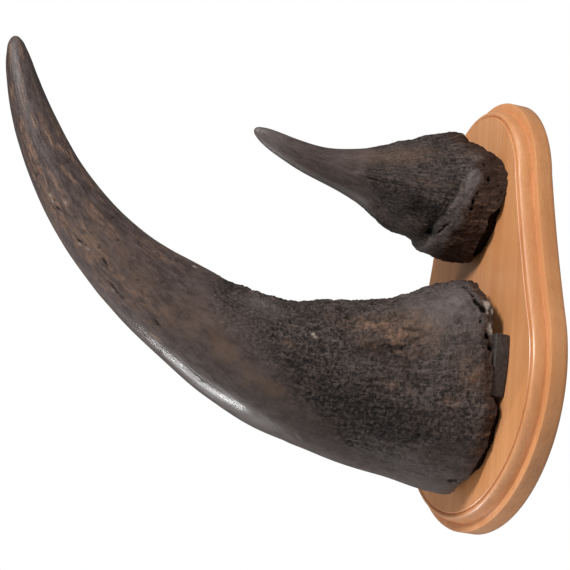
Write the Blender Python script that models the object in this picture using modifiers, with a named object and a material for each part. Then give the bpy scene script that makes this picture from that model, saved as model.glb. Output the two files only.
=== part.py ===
"""Two rhinoceros horns, front and rear, fixed on a moulded wooden wall plaque.

X runs across the plaque, Y into the wall and Z up. The origin is the centre of the
plaque's flat back. Sizes are in metres and angles in degrees.

A horn is lofted along a curved axis. A place on it is given by its share of the axis,
0 at the plaque and 1 at the tip, and by its angle round the axis, 0 on the upper side,
90 on the side towards +X and 180 on the lower side.
"""
import math

import bmesh
import bpy
import numpy as np

GAP = 0.0003                    # left between pieces that touch

# Plaque outline: a tall lobe on top, a round one below and a shallow waist each side
PLAQUE_HEIGHT = 0.417
PLAQUE_THICKNESS = 0.0304
TOP_HALF_WIDTH = 0.0945
TOP_STRETCH = 1.11              # height of the top lobe over its half width
BOTTOM_HALF_WIDTH = 0.1406
BOTTOM_STRETCH = 0.96
WAIST_RADIUS = 1.394
TOP_SEGMENTS = 24
BOTTOM_SEGMENTS = 30
WAIST_SEGMENTS = 6

# Moulding round the plaque's front, from the outside in
SIDE_DEPTH = 0.0170             # plain side, from the wall to the ledge
LEDGE_WIDTH = 0.0086
BEAD_CREST = 0.0130             # inset of the bead's crest
BEAD_HEIGHT = 0.0126            # crest above the ledge
BEAD_END = 0.0156               # inset of the groove behind the bead
GROOVE_LEVEL = 0.0282           # groove's height above the wall
FACE_INSET = 0.0163
BEAD_STEPS = 5
GROOVE_STEPS = 2

# Boards between the plaque and the horns
FRONT_BLOCK_SIZE = (0.1696, 0.0142, 0.0575)
FRONT_BLOCK_HEIGHT = -0.0683    # middle of the board, from the plaque's centre
FRONT_BOW_HEIGHT = 0.0163       # where the board is widest, above its middle
REAR_BLOCK_SIZE = (0.064, 0.0187, 0.048)
REAR_BLOCK_HEIGHT = 0.1098
REAR_BOW_HEIGHT = 0.0
BOW_RADIUS = 0.151              # of the boards' curved ends
BOW_STEPS = 6
BLOCK_BEVEL = 0.0015
BEVEL_SEGMENTS = 2
BEVEL_ANGLE = 30
SHARP_ANGLE = 38                # edges turning more than this stay crisp

# Front horn
FRONT_LENGTH = 0.5971           # along the axis, from the plaque's face
FRONT_BASE_HEIGHT = -0.0740
FRONT_HEADING = ((0.0, -11.1), (0.15, -3.2), (0.28, 3.6), (0.4, 19.1), (0.55, 29.6),
                 (0.7, 46.1), (0.83, 60.8), (0.93, 70.4), (1.0, 77.4))
FRONT_HALF_HEIGHT = ((0.0, 0.0978), (0.03, 0.0978), (0.08, 0.0934), (0.16, 0.0811),
                     (0.28, 0.0672), (0.4, 0.0541), (0.55, 0.0401), (0.7, 0.0289),
                     (0.83, 0.0214), (0.93, 0.0148), (0.985, 0.0076), (1.0, 0.0))
FRONT_WIDTH_SHARE = ((0.0, 0.87), (0.15, 0.80), (0.5, 0.85), (1.0, 0.90))
FRONT_RIM = ((0, 0.006), (20, 0.001), (36, 0.005), (54, 0.0068), (61, 0.0095), (67, 0.0140),
             (72, 0.0163), (80, 0.0205), (90, 0.0255), (98, 0.0270), (104, 0.0250),
             (110, 0.0230), (126, 0.0265), (140, 0.035), (152, 0.0412), (180, 0.0425))

# Rear horn
REAR_LENGTH = 0.2369
REAR_BASE_HEIGHT = 0.1101
REAR_HEADING = ((0.0, 0.0), (0.25, -0.3), (0.43, 3.7), (0.6, 3.4), (0.8, 15.1), (1.0, 22.0))
REAR_HALF_HEIGHT = ((0.0, 0.0632), (0.06, 0.0631), (0.13, 0.0616), (0.24, 0.0534),
                    (0.38, 0.0411), (0.52, 0.0260), (0.67, 0.0169), (0.82, 0.0122),
                    (0.93, 0.0086), (0.985, 0.0042), (1.0, 0.0))
REAR_WIDTH_SHARE = ((0.0, 0.97), (0.15, 0.84), (0.5, 0.88), (1.0, 1.0))
REAR_RIM = ((0, 0.122), (15, 0.125), (39, 0.115), (50, 0.088), (57, 0.055), (61, 0.025),
            (67, 0.007), (76, 0.0), (90, 0.001), (103, 0.010), (111, 0.023), (123, 0.047),
            (146, 0.052), (180, 0.020))

# Relief on the horns: each lump is share, angle, half length, half width and height
FRONT_LUMPS = (
    (0.140, 0, 0.046, 0.070, -0.0044),      # hollow of the flared upper side
    (0.012, 12, 0.013, 0.024, 0.0028),      # raised lip over it
    (0.090, -170, 0.045, 0.060, -0.0022),   # flatter underside of the base
    (0.520, 12, 0.050, 0.030, 0.0018),      # swelling where the rough half begins
    (0.437, 30, 0.009, 0.012, 0.0012),      # knots along the upper edge
    (0.414, 34, 0.008, 0.010, 0.0014),
    (0.430, 6, 0.016, 0.014, -0.0012),
    (0.385, -16, 0.012, 0.014, 0.0013),
    (0.246, 34, 0.016, 0.009, -0.0026),     # crease below the flare
    (0.262, -30, 0.020, 0.012, -0.0022),
    (0.313, 70, 0.012, 0.011, 0.0012),
    (0.168, 60, 0.034, 0.016, 0.0022),      # swellings of the rough flank
    (0.130, 88, 0.026, 0.018, -0.0018),
    (0.215, 96, 0.036, 0.020, 0.0020),
    (0.290, 108, 0.030, 0.018, -0.0014),
    (0.110, 128, 0.030, 0.022, 0.0016),
    (0.238, 140, 0.026, 0.018, -0.0016),
    (0.335, 86, 0.026, 0.016, 0.0016),
    (0.055, 72, 0.012, 0.020, -0.0022),
    (0.170, -60, 0.032, 0.020, 0.0022),
    (0.240, -95, 0.036, 0.020, 0.0018),
    (0.120, -120, 0.030, 0.024, -0.0018),
    (0.330, -75, 0.026, 0.016, 0.0015),
    (0.060, -80, 0.014, 0.022, -0.0022),
)
REAR_LUMPS = (
    (0.190, 18, 0.010, 0.011, 0.0010),      # knots on the upper rim
    (0.150, 32, 0.009, 0.011, 0.0016),
    (0.172, -28, 0.012, 0.012, 0.0020),
    (0.168, 4, 0.008, 0.012, -0.0018),
    (0.225, 2, 0.020, 0.014, -0.0012),
    (0.190, 8, 0.040, 0.030, -0.0014),
    (0.138, 89, 0.012, 0.014, 0.0030),      # smooth knob on the near side
    (0.166, 110, 0.011, 0.016, 0.0016),     # flap that runs down from it
    (0.190, 130, 0.011, 0.018, 0.0018),
    (0.204, 156, 0.011, 0.020, 0.0018),
    (0.119, 110, 0.006, 0.009, -0.0036),    # pits beside the knob
    (0.088, 71, 0.008, 0.008, -0.0026),
    (0.070, 88, 0.007, 0.008, -0.0024),
    (0.214, 78, 0.014, 0.012, -0.0018),
    (0.259, 66, 0.018, 0.013, 0.0018),
    (0.367, 168, 0.012, 0.011, 0.0016),
    (0.140, -84, 0.013, 0.014, 0.0028),
    (0.100, -108, 0.008, 0.010, -0.0032),
    (0.260, -60, 0.016, 0.012, 0.0016),
    (0.360, -160, 0.014, 0.012, 0.0014),
)
FLUTE_DEPTH = 0.0013            # lengthwise flutes near a horn's base
FRONT_FLUTES = 14
REAR_FLUTES = 11
FLUTE_FADE = (0.05, 0.30)       # shares of the axis over which the flutes die away
FLUTE_BEND = 2.0                # how unevenly they stand round the horn
FLUTE_TWIST = 9
ROUGH_DEPTH = 0.0006            # uneven growth over the rough half
ROUGH_FADE = (0.30, 0.55)
ROUGH_WAVES = ((31, 4, 0.0), (53, -3, 1.0), (19, 7, 2.0))   # along, round and phase
RIM_RAGGED = 0.0011             # how far the rim wanders along the axis
RIM_WAVES = (9, 17)             # waves of it round the horn

# Ledge round the lower half of the rear horn, where the upper layer ends
LEDGE_PLACE = ((60, 0.165), (81, 0.160), (95, 0.165), (109, 0.182), (122, 0.202),
               (147, 0.222), (180, 0.222))
LEDGE_DEPTH = 0.0038
LEDGE_RUN_OUT = 0.014
LEDGE_EDGE = 0.0040
LEDGE_FADE = (72, 112)          # angles over which the ledge grows from nothing

# Squarer upper corners at the front horn's base
BASE_SQUARENESS = 2.8
SQUARENESS_REACH = 0.25

# Colours, in linear light
WOOD_COLOUR = (0.61, 0.32, 0.165)
STAIN_COLOUR = (0.045, 0.034, 0.030)
KERATIN_COLOUR = (0.070, 0.052, 0.048)

# Mesh density
FRONT_RINGS = 56
FRONT_SIDES = 42
REAR_RINGS = 40
REAR_SIDES = 36
RING_CROWDING = 0.55            # rings stand closer at the base and at the tip
AXIS_STEPS = 600

# Hollow under a horn: a lip inside the rim, then the flat that rests on the board
LIP_SHARE = 0.92
LIP_DEPTH = 0.0015
FRONT_SEAT_SHARE = 0.80
REAR_SEAT_SHARE = 0.70
BOARD_MARGIN = 0.004            # how far round a board the rim keeps off it
LIP_MARGIN = 0.014


def clear_scene():
    """Remove whatever the file holds."""
    for item in list(bpy.data.objects):
        bpy.data.objects.remove(item, do_unlink=True)


def new_collection(name):
    """Add a collection to the scene."""
    collection = bpy.data.collections.new(name)
    bpy.context.scene.collection.children.link(collection)
    return collection


def add_object(collection, name, mesh, material):
    """Put a mesh in the collection as a named object."""
    mesh.materials.append(material)
    item = bpy.data.objects.new(name, mesh)
    collection.objects.link(item)
    return item


def plain_material(name, colour, roughness):
    """A Principled material, with no metal in it."""
    material = bpy.data.materials.new(name)
    material.use_nodes = True
    shader = material.node_tree.nodes["Principled BSDF"]
    shader.inputs["Base Color"].default_value = (*colour, 1.0)
    shader.inputs["Roughness"].default_value = roughness
    shader.inputs["Metallic"].default_value = 0.0
    return material


def smooth_curve(stations, at):
    """Smooth curve through (place, value) stations, with no overshoot between them."""
    places = np.array([station[0] for station in stations], float)
    values = np.array([station[1] for station in stations], float)
    steps = np.diff(places)
    rises = np.diff(values) / steps
    slopes = np.empty(len(places))
    slopes[0] = rises[0]
    slopes[-1] = rises[-1]
    for i in range(1, len(places) - 1):
        before = rises[i - 1]
        after = rises[i]
        turning = before * after <= 0
        weight_before = 2 * steps[i] + steps[i - 1]
        weight_after = steps[i] + 2 * steps[i - 1]
        total = weight_before + weight_after
        slopes[i] = 0.0 if turning else total / (weight_before / before + weight_after / after)
    at = np.clip(np.asarray(at, float), places[0], places[-1])
    left = np.clip(np.searchsorted(places, at, side="right") - 1, 0, len(steps) - 1)
    width = steps[left]
    t = (at - places[left]) / width
    from_left = values[left] * (1 + 2 * t) * (1 - t) ** 2 + slopes[left] * width * t * (1 - t) ** 2
    from_right = values[left + 1] * t * t * (3 - 2 * t) - slopes[left + 1] * width * t * t * (1 - t)
    return from_left + from_right


def smooth_step(low, high, at):
    """Rise from 0 at low to 1 at high."""
    t = np.clip((at - low) / (high - low), 0.0, 1.0)
    return t * t * (3 - 2 * t)


def arc_points(centre, radius, start, end, segments):
    """Points on an arc, its last one left to the next arc."""
    angles = np.radians(np.linspace(start, end, segments + 1)[:-1])
    return [(centre[0] + radius * math.cos(a), centre[1] + radius * math.sin(a)) for a in angles]


def stretched_lobe(centre_z, radius, start, end, segments, stretch):
    """An arc whose far half, away from the waist, is stretched in height."""
    points = []
    for x, z in arc_points((0.0, 0.0), radius, start, end, segments):
        far_half = z * math.sin(math.radians((start + end) / 2)) > 0
        points.append((x, centre_z + z * (stretch if far_half else 1.0)))
    return points


def plaque_outline():
    """Outline of the plaque as (x, z) points, round lobes joined by tangent waist arcs."""
    top = PLAQUE_HEIGHT / 2 - TOP_HALF_WIDTH * TOP_STRETCH
    bottom = -PLAQUE_HEIGHT / 2 + BOTTOM_HALF_WIDTH * BOTTOM_STRETCH
    to_top = TOP_HALF_WIDTH + WAIST_RADIUS
    to_bottom = BOTTOM_HALF_WIDTH + WAIST_RADIUS
    drop = (to_top ** 2 - to_bottom ** 2 + (top - bottom) ** 2) / (2 * (top - bottom))
    waist_x = math.sqrt(to_top ** 2 - drop ** 2)
    waist_z = top - drop
    top_angle = math.degrees(math.atan2(waist_z - top, waist_x))
    bottom_angle = math.degrees(math.atan2(waist_z - bottom, waist_x))
    left = arc_points((-waist_x, waist_z), WAIST_RADIUS, -top_angle, -bottom_angle, WAIST_SEGMENTS)
    right = arc_points((waist_x, waist_z), WAIST_RADIUS,
                       180 + bottom_angle, 180 + top_angle, WAIST_SEGMENTS)
    return (stretched_lobe(top, TOP_HALF_WIDTH, top_angle, 180 - top_angle,
                           TOP_SEGMENTS, TOP_STRETCH)
            + left
            + stretched_lobe(bottom, BOTTOM_HALF_WIDTH, 180 - bottom_angle, 360 + bottom_angle,
                             BOTTOM_SEGMENTS, BOTTOM_STRETCH)
            + right)


def moulding_profile():
    """Moulding as (inset, height above the wall) points, from the side to the face."""
    points = [(0.0, SIDE_DEPTH)]
    for i in range(BEAD_STEPS + 1):
        turn = math.pi / 2 * i / BEAD_STEPS
        inset = BEAD_CREST - (BEAD_CREST - LEDGE_WIDTH) * math.cos(turn)
        points.append((inset, SIDE_DEPTH + BEAD_HEIGHT * math.sin(turn)))
    crest = SIDE_DEPTH + BEAD_HEIGHT
    for i in range(1, GROOVE_STEPS + 1):
        turn = math.pi / 2 * i / GROOVE_STEPS
        inset = BEAD_CREST + (BEAD_END - BEAD_CREST) * math.sin(turn)
        points.append((inset, GROOVE_LEVEL + (crest - GROOVE_LEVEL) * math.cos(turn)))
    points.append((FACE_INSET, PLAQUE_THICKNESS))
    return points


def make_plaque(collection, material):
    """The outline raised to the ledge, then inset step by step along the moulding."""
    body = bmesh.new()
    corners = [body.verts.new((x, 0.0, z)) for x, z in plaque_outline()]
    back = body.faces.new(corners)
    raised = bmesh.ops.extrude_face_region(body, geom=[back])["geom"]
    front = next(item for item in raised if isinstance(item, bmesh.types.BMFace))
    bmesh.ops.translate(body, verts=front.verts, vec=(0.0, -SIDE_DEPTH, 0.0))
    profile = moulding_profile()
    for (inset, height), (next_inset, next_height) in zip(profile, profile[1:]):
        bmesh.ops.inset_region(body, faces=[front], thickness=next_inset - inset,
                               use_even_offset=True)
        bmesh.ops.translate(body, verts=front.verts, vec=(0.0, height - next_height, 0.0))
    bmesh.ops.recalc_face_normals(body, faces=body.faces)
    mesh = bpy.data.meshes.new("plaque")
    body.to_mesh(mesh)
    body.free()
    mesh.shade_smooth()
    mesh.set_sharp_from_angle(angle=math.radians(SHARP_ANGLE))
    return add_object(collection, "plaque", mesh, material)


def make_block(collection, name, size, height, bow_height, material):
    """A board with softened edges and bowed ends, lying on the plaque's face."""
    width, thickness, tall = size
    levels = np.linspace(-tall / 2, tall / 2, BOW_STEPS + 1)
    right = [(width / 2 - (z - bow_height) ** 2 / (2 * BOW_RADIUS), z) for z in levels]
    outline = right + [(-x, z) for x, z in reversed(right)]
    body = bmesh.new()
    back = body.faces.new([body.verts.new((x, 0.0, z)) for x, z in outline])
    raised = bmesh.ops.extrude_face_region(body, geom=[back])["geom"]
    front = next(item for item in raised if isinstance(item, bmesh.types.BMFace))
    bmesh.ops.translate(body, verts=front.verts, vec=(0.0, -thickness, 0.0))
    bmesh.ops.recalc_face_normals(body, faces=body.faces)
    mesh = bpy.data.meshes.new(name)
    body.to_mesh(mesh)
    body.free()
    item = add_object(collection, name, mesh, material)
    item.location = (0.0, -(PLAQUE_THICKNESS + GAP), height)
    bevel = item.modifiers.new("softened_edges", "BEVEL")
    bevel.width = BLOCK_BEVEL
    bevel.segments = BEVEL_SEGMENTS
    bevel.limit_method = "ANGLE"
    bevel.angle_limit = math.radians(BEVEL_ANGLE)
    return item


def lump_relief(lumps, share, angle, length, radius):
    """Height of the single lumps and pits at each place."""
    relief = np.zeros_like(share)
    for lump_share, lump_angle, half_length, half_width, height in lumps:
        along = (share - lump_share) * length / half_length
        turn = (angle - lump_angle + 180) % 360 - 180
        around = np.radians(turn) * radius / half_width
        reach = np.clip(np.hypot(along, around), 0, 1)
        relief += height * np.cos(reach * math.pi / 2) ** 2
    return relief


def growth_relief(share, angle, flutes):
    """Lengthwise flutes near the base and uneven growth over the rough half."""
    turn = np.radians(angle)
    near_base = 1 - smooth_step(*FLUTE_FADE, share)
    flute = np.sin(flutes * turn + FLUTE_BEND * np.sin(3 * turn) + FLUTE_TWIST * share)
    rough = 1 - smooth_step(*ROUGH_FADE, share)
    uneven = sum(np.sin(along * share + around * turn + phase)
                 for along, around, phase in ROUGH_WAVES)
    return FLUTE_DEPTH * flute * near_base + ROUGH_DEPTH * uneven * rough


def ledge_relief(share, angle, length):
    """The rear horn's upper layer stops short of its base and leaves a ledge there."""
    from_top = np.abs(angle)
    past = (share - smooth_curve(LEDGE_PLACE, from_top)) * length
    cut = smooth_step(0, LEDGE_EDGE, past) * np.exp(-np.clip(past, 0, None) / LEDGE_RUN_OUT)
    return -LEDGE_DEPTH * cut * smooth_step(*LEDGE_FADE, from_top)


def axis_frame(length, base_height, heading, share):
    """Y and Z of the axis and its heading, walked in small steps from the plaque's face."""
    walk = np.linspace(0.0, 1.0, AXIS_STEPS)
    angles = np.radians(smooth_curve(heading, walk))
    step = length / (AXIS_STEPS - 1)
    forward = np.cumsum(np.cos(angles[:-1]) + np.cos(angles[1:])) * step / 2
    upward = np.cumsum(np.sin(angles[:-1]) + np.sin(angles[1:])) * step / 2
    y = -PLAQUE_THICKNESS - np.concatenate(([0.0], forward))
    z = base_height + np.concatenate(([0.0], upward))
    return np.interp(share, walk, y), np.interp(share, walk, z), np.interp(share, walk, angles)


def section_stretch(share, angle, squareness):
    """How far the upper corners of a section stand outside the ellipse."""
    power = 2 + (squareness - 2) * np.clip(1 - share / SQUARENESS_REACH, 0, 1)
    across = np.abs(np.sin(np.radians(angle)))
    upward = np.clip(np.cos(np.radians(angle)), 0, None)
    round_reach = np.sqrt(across ** 2 + upward ** 2)
    square_reach = (across ** power + upward ** power) ** (1 / power)
    stretch = round_reach / np.where(square_reach > 0, square_reach, 1.0)
    return np.where(np.cos(np.radians(angle)) > 0, stretch, 1.0)


def horn_point(axis, half_height, half_width, angle):
    """World points on the sections, whose upper side leans with the heading."""
    y, z, heading = axis
    up = half_height * np.cos(np.radians(angle))
    x = half_width * np.sin(np.radians(angle))
    return np.stack((x, y + up * np.sin(heading), z + up * np.cos(heading)), axis=-1)


def ring_places(rings, sides, rim, length, seed_turn):
    """Share and angle of every vertex, from the ragged rim to just before the tip."""
    angle = np.arange(sides) * 360.0 / sides
    angle = (angle + 180) % 360 - 180
    even = np.arange(rings) / rings
    row = even - RING_CROWDING * np.sin(2 * math.pi * even) / (2 * math.pi)
    turn = np.radians(angle)
    coarse, fine = RIM_WAVES
    ragged = np.sin(coarse * turn + seed_turn) + np.sin(fine * turn + 2 * seed_turn)
    start = smooth_curve(rim, np.abs(angle)) + RIM_RAGGED / length * ragged / 2
    share = row[:, None] + start[None, :] * (1 - row[:, None]) ** 3
    return share, np.broadcast_to(angle, share.shape)


def keep_off_board(ring, board_size, board_height, seat_level, margin):
    """Lift the points that would dip into the board or into the plaque."""
    over = ((np.abs(ring[:, 0]) < board_size[0] / 2 + margin)
            & (np.abs(ring[:, 2] - board_height) < board_size[2] / 2 + margin))
    limit = np.where(over, seat_level, -(PLAQUE_THICKNESS + GAP))
    ring[:, 1] = np.minimum(ring[:, 1], limit)


def under_rings(rim_ring, seat_share, seat_level):
    """Lip and seat under the horn, drawn in from the rim."""
    middle = rim_ring.mean(axis=0)
    lip = middle + (rim_ring - middle) * LIP_SHARE
    lip[:, 1] = rim_ring[:, 1] - LIP_DEPTH
    seat = middle + (rim_ring - middle) * seat_share
    seat[:, 1] = seat_level
    return lip, seat, np.array((middle[0], seat_level, middle[2]))


def close_loft(name, rings, seat_middle, tip):
    """Faces between neighbouring rings, fanned shut at the seat and at the tip."""
    body = bmesh.new()
    rows = [[body.verts.new(point) for point in ring] for ring in rings]
    sides = len(rows[0])
    for row, next_row in zip(rows, rows[1:]):
        for i in range(sides):
            j = (i + 1) % sides
            body.faces.new((row[i], row[j], next_row[j], next_row[i]))
    for row, point in ((rows[0], seat_middle), (rows[-1], tip)):
        centre = body.verts.new(point)
        for i in range(sides):
            body.faces.new((row[i], row[(i + 1) % sides], centre))
    bmesh.ops.recalc_face_normals(body, faces=body.faces)
    mesh = bpy.data.meshes.new(name)
    body.to_mesh(mesh)
    body.free()
    mesh.shade_smooth()
    return mesh


def make_front_horn(collection, material):
    """The long front horn, resting on its board."""
    share, angle = ring_places(FRONT_RINGS, FRONT_SIDES, FRONT_RIM, FRONT_LENGTH, 1.0)
    axis = axis_frame(FRONT_LENGTH, FRONT_BASE_HEIGHT, FRONT_HEADING, share)
    half_height = smooth_curve(FRONT_HALF_HEIGHT, share)
    half_width = half_height * smooth_curve(FRONT_WIDTH_SHARE, share)
    stretch = section_stretch(share, angle, BASE_SQUARENESS)
    relief = (lump_relief(FRONT_LUMPS, share, angle, FRONT_LENGTH, half_height)
              + growth_relief(share, angle, FRONT_FLUTES))
    points = horn_point(axis, half_height * stretch + relief, half_width * stretch + relief, angle)
    tip = axis_frame(FRONT_LENGTH, FRONT_BASE_HEIGHT, FRONT_HEADING, 1.0)
    return finish_horn(collection, "front_horn", points, tip, FRONT_SEAT_SHARE,
                       (FRONT_BLOCK_SIZE, FRONT_BLOCK_HEIGHT), material)


def make_rear_horn(collection, material):
    """The short rear horn, whose saddle-shaped rim meets the plaque at both sides."""
    share, angle = ring_places(REAR_RINGS, REAR_SIDES, REAR_RIM, REAR_LENGTH, 2.5)
    axis = axis_frame(REAR_LENGTH, REAR_BASE_HEIGHT, REAR_HEADING, share)
    half_height = smooth_curve(REAR_HALF_HEIGHT, share)
    half_width = half_height * smooth_curve(REAR_WIDTH_SHARE, share)
    relief = (lump_relief(REAR_LUMPS, share, angle, REAR_LENGTH, half_height)
              + growth_relief(share, angle, REAR_FLUTES)
              + ledge_relief(share, angle, REAR_LENGTH))
    points = horn_point(axis, half_height + relief, half_width + relief, angle)
    tip = axis_frame(REAR_LENGTH, REAR_BASE_HEIGHT, REAR_HEADING, 1.0)
    return finish_horn(collection, "rear_horn", points, tip, REAR_SEAT_SHARE,
                       (REAR_BLOCK_SIZE, REAR_BLOCK_HEIGHT), material)


def finish_horn(collection, name, points, tip, seat_share, board, material):
    """Close a horn's loft behind its rim and at its tip."""
    board_size, board_height = board
    seat_level = -(PLAQUE_THICKNESS + 2 * GAP + board_size[1])
    rim_ring = points[0]
    keep_off_board(rim_ring, board_size, board_height, seat_level, BOARD_MARGIN)
    lip, seat, seat_middle = under_rings(rim_ring, seat_share, seat_level)
    keep_off_board(lip, board_size, board_height, seat_level, LIP_MARGIN)
    tip_y, tip_z, _ = tip
    mesh = close_loft(name, [seat, lip] + list(points), seat_middle, (0.0, tip_y, tip_z))
    return add_object(collection, name, mesh, material)


def build():
    """Make the five pieces, each with its own material."""
    clear_scene()
    collection = new_collection("rhinoceros_horns")
    make_plaque(collection, plain_material("plaque_wood", WOOD_COLOUR, 0.35))
    make_block(collection, "front_mounting_block", FRONT_BLOCK_SIZE, FRONT_BLOCK_HEIGHT,
               FRONT_BOW_HEIGHT, plain_material("front_block_stain", STAIN_COLOUR, 0.7))
    make_block(collection, "rear_mounting_block", REAR_BLOCK_SIZE, REAR_BLOCK_HEIGHT,
               REAR_BOW_HEIGHT, plain_material("rear_block_stain", STAIN_COLOUR, 0.7))
    make_front_horn(collection, plain_material("front_horn_keratin", KERATIN_COLOUR, 0.5))
    make_rear_horn(collection, plain_material("rear_horn_keratin", KERATIN_COLOUR, 0.5))


build()
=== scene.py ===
import math

import bmesh
import bpy
import numpy as np
from mathutils import Matrix, Vector


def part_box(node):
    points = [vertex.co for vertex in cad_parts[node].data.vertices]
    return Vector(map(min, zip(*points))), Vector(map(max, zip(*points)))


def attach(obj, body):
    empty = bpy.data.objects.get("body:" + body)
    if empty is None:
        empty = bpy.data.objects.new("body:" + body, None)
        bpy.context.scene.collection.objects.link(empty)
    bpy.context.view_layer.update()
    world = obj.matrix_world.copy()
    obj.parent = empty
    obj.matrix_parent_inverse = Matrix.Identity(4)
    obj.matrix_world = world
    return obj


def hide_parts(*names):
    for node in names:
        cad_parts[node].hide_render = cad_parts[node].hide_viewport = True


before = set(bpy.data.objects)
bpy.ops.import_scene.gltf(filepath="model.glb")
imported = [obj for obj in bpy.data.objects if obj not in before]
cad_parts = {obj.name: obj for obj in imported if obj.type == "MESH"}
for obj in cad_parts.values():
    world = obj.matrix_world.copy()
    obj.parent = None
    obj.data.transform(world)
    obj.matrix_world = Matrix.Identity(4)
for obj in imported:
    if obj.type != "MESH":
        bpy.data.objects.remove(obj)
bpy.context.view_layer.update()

# Shapes that follow the solids, in metres and degrees. A place on a horn is its share of the
# axis, 0 at the plaque's face and 1 at the tip, and its angle round the axis, 0 on top and 90
# towards +X. A horn's rows are (from, to, count) stretches.
THICKNESS = 0.0304
GAP = 0.0003
FOOT_LEVEL = -0.0309            # where the horns' inner edge comes down on the plaque

PLAQUE_HEIGHT = 0.417
TOP_HALF_WIDTH = 0.0945
TOP_STRETCH = 1.11
BOTTOM_HALF_WIDTH = 0.1406
BOTTOM_STRETCH = 0.96
WAIST_RADIUS = 1.394

SIDE_DEPTH = 0.0170
LEDGE_WIDTH = 0.0086
BEAD_CREST = 0.0130
BEAD_HEIGHT = 0.0126
BEAD_END = 0.0156
GROOVE_LEVEL = 0.0282
FACE_INSET = 0.0163

FRONT_BLOCK_SIZE = (0.1696, 0.0142, 0.0575)
FRONT_BLOCK_HEIGHT = -0.0683
FRONT_BOW_HEIGHT = 0.0163
REAR_BLOCK_SIZE = (0.064, 0.0187, 0.048)
REAR_BLOCK_HEIGHT = 0.1098
REAR_BOW_HEIGHT = 0.0
BOW_RADIUS = 0.151

WALK_STEPS = 600
RIM_WAVES = 0.0011
RIM_ROWS = 24                   # rows that may touch a board

FRONT = dict(
    length=0.5971, base=-0.0740, square=2.8, square_reach=0.25,
    heading=((0.0, -11.1), (0.15, -3.2), (0.28, 3.6), (0.4, 19.1), (0.55, 29.6),
             (0.7, 46.1), (0.83, 60.8), (0.93, 70.4), (1.0, 77.4)),
    half=((0.0, 0.0978), (0.03, 0.0978), (0.08, 0.0934), (0.16, 0.0811), (0.28, 0.0672),
          (0.4, 0.0541), (0.55, 0.0401), (0.7, 0.0289), (0.83, 0.0214), (0.93, 0.0148),
          (0.985, 0.0076), (1.0, 0.0)),
    width=((0.0, 0.87), (0.15, 0.80), (0.5, 0.85), (1.0, 0.90)),
    rim=((0, 0.006), (20, 0.001), (36, 0.005), (54, 0.0068), (61, 0.0095), (67, 0.0140),
         (72, 0.0163), (80, 0.0205), (90, 0.0255), (98, 0.0270), (104, 0.0250),
         (110, 0.0230), (126, 0.0265), (140, 0.035), (152, 0.0412), (180, 0.0425)),
    flutes=14, seed=1.0, tip_from=0.975, ragged=0.0010, columns=340,
    rows=((0.0, 0.02, 12), (0.02, 0.47, 182), (0.47, 0.97, 146), (0.97, 1.0, 14)),
    halve_at=0.47, seat_share=0.80, foot_inset=0.055, board=(FRONT_BLOCK_SIZE, FRONT_BLOCK_HEIGHT),
)
REAR = dict(
    length=0.2370, base=0.1101, square=2.0, square_reach=0.25,
    heading=((0.0, 0.0), (0.25, -0.3), (0.43, 3.7), (0.6, 3.4), (0.8, 15.1), (1.0, 22.0)),
    half=((0.0, 0.0632), (0.06, 0.0631), (0.13, 0.0616), (0.24, 0.0534), (0.38, 0.0411),
          (0.52, 0.0260), (0.67, 0.0169), (0.82, 0.0122), (0.93, 0.0086), (0.985, 0.0042),
          (1.0, 0.0)),
    width=((0.0, 0.97), (0.15, 0.84), (0.5, 0.88), (1.0, 1.0)),
    rim=((0, 0.122), (15, 0.125), (39, 0.115), (50, 0.081), (57, 0.051), (61, 0.025),
         (67, 0.007), (76, 0.0), (90, 0.001), (103, 0.010), (111, 0.023), (123, 0.047),
         (146, 0.052), (180, 0.020)),
    flutes=11, seed=2.5, tip_from=0.975, ragged=0.0005, columns=368,
    rows=((0.0, 0.03, 14), (0.03, 0.56, 168), (0.56, 0.97, 86), (0.97, 1.0, 14)),
    halve_at=0.56, seat_share=0.70, foot_inset=0.085, board=(REAR_BLOCK_SIZE, REAR_BLOCK_HEIGHT),
)


# Curves and noise
def smooth_curve(stations, at):
    """Smooth curve through (place, value) stations, with no overshoot between them."""
    places = np.array([station[0] for station in stations], float)
    values = np.array([station[1] for station in stations], float)
    steps = np.diff(places)
    rises = np.diff(values) / steps
    slopes = np.empty(len(places))
    slopes[0] = rises[0]
    slopes[-1] = rises[-1]
    for i in range(1, len(places) - 1):
        before = rises[i - 1]
        after = rises[i]
        turning = before * after <= 0
        weight_before = 2 * steps[i] + steps[i - 1]
        weight_after = steps[i] + 2 * steps[i - 1]
        total = weight_before + weight_after
        slopes[i] = 0.0 if turning else total / (weight_before / before + weight_after / after)
    at = np.clip(np.asarray(at, float), places[0], places[-1])
    left = np.clip(np.searchsorted(places, at, side="right") - 1, 0, len(steps) - 1)
    width = steps[left]
    t = (at - places[left]) / width
    from_left = values[left] * (1 + 2 * t) * (1 - t) ** 2 + slopes[left] * width * t * (1 - t) ** 2
    from_right = values[left + 1] * t * t * (3 - 2 * t) - slopes[left + 1] * width * t * t * (1 - t)
    return from_left + from_right


def step(low, high, at):
    """Rise from 0 at low to 1 at high."""
    t = np.clip((at - low) / (high - low), 0.0, 1.0)
    return t * t * (3 - 2 * t)


def unit(value):
    return np.clip(value, 0, 1)


def fall(distance):
    """1 at no distance, falling smoothly to 0 at 1."""
    return np.cos(unit(distance) * math.pi / 2) ** 2


def lattice_value(cell, seed):
    """A number from 0 to 1 for each cell of a lattice."""
    n = (cell[..., 0].astype(np.int64) * 73856093
         ^ cell[..., 1].astype(np.int64) * 19349663
         ^ cell[..., 2].astype(np.int64) * 83492791) + seed * 7919
    n = (n ^ (n >> 13)) * 1274126177 & 0x7FFFFFFF
    n = (n ^ (n >> 11)) * 668265263 & 0x7FFFFFFF
    n = n ^ (n >> 15)
    return (n & 0xFFFFF) / float(0xFFFFF)


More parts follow.
